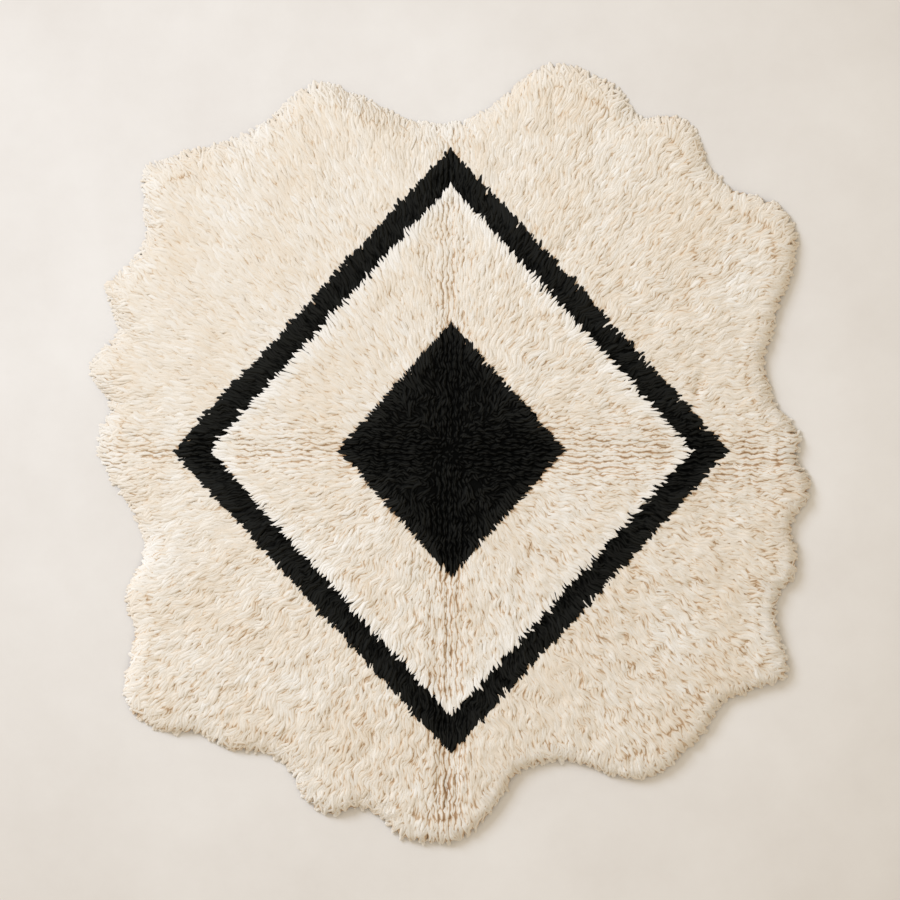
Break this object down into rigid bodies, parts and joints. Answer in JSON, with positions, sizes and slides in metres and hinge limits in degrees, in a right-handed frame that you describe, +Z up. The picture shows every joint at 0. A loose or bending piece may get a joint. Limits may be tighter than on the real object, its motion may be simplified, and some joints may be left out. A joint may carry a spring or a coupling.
{
  "type": "beni ourain shag rug",
  "caption": "Ivory shag wool rug with a scalloped outline, a black lozenge border and a solid black lozenge in the middle, lying flat.",
  "frame": {"origin": "on the underside, where the rug's two fold lines cross in the middle of the lozenges", "axes": "+Y along the rug's longer side, towards the top of the picture, +Z up out of the pile"},
  "size_m": [1.5085, 1.6289, 0.0311],
  "materials": {
    "ivory_wool": "soft matt undyed ivory wool pile, felted yarn with a fine fibre grain",
    "black_wool": "soft matt black wool pile",
    "ground_weave": "plain woven wool ground, seen only from below"
  },
  "bodies": {
    "root": {"rug": "ivory_wool"}
  },
  "joints": []
}
